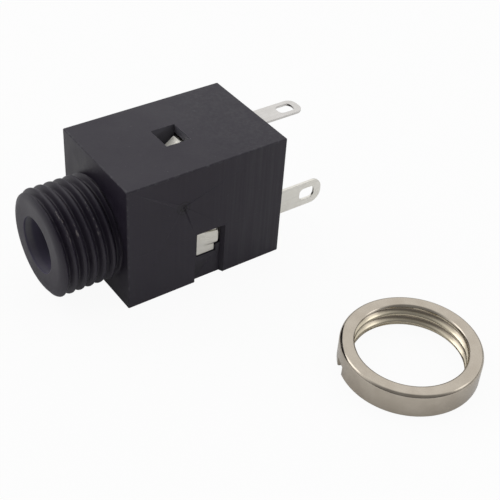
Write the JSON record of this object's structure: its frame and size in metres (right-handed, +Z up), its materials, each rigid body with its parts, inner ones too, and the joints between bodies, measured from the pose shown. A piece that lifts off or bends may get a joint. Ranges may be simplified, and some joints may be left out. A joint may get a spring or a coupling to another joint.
{
  "type": "quarter inch phone jack",
  "caption": "Panel jack for a quarter inch plug: black moulded box with a threaded neck, sprung tip and sleeve contacts with solder tags, and its round nut.",
  "frame": {"origin": "on the plug's axis, at the front face of the box, where the panel sits", "axes": "-X out of the neck towards the plug, +X towards the solder tags, +Z up, -Y the side with the long window"},
  "size_m": [0.035, 0.0438, 0.0155],
  "materials": {
    "housing": "moulded, semi-matt",
    "contacts": "tin plated bronze strip",
    "nut": "nickel plated brass"
  },
  "bodies": {
    "jack": {"housing": "housing", "tip_contact": "contacts", "sleeve_contact": "contacts", "ring_nut": "nut"},
    "tip_spring": {"tip_contact_arm": "contacts"},
    "sleeve_spring": {"sleeve_contact_arm": "contacts"}
  },
  "joints": [
    {"name": "tip_flex", "type": "hinge", "parent": "jack", "child": "tip_spring", "pos_m": [0.00932, -0.00415, -0.0003], "axis": [0, 0, -1], "range_deg": [0, 7], "stiffness_Nm_per_rad": 0.3},
    {"name": "sleeve_flex", "type": "hinge", "parent": "jack", "child": "sleeve_spring", "pos_m": [0.01158, 0, 0.00705], "axis": [0, 1, 0], "range_deg": [0, 7], "stiffness_Nm_per_rad": 0.2}
  ]
}
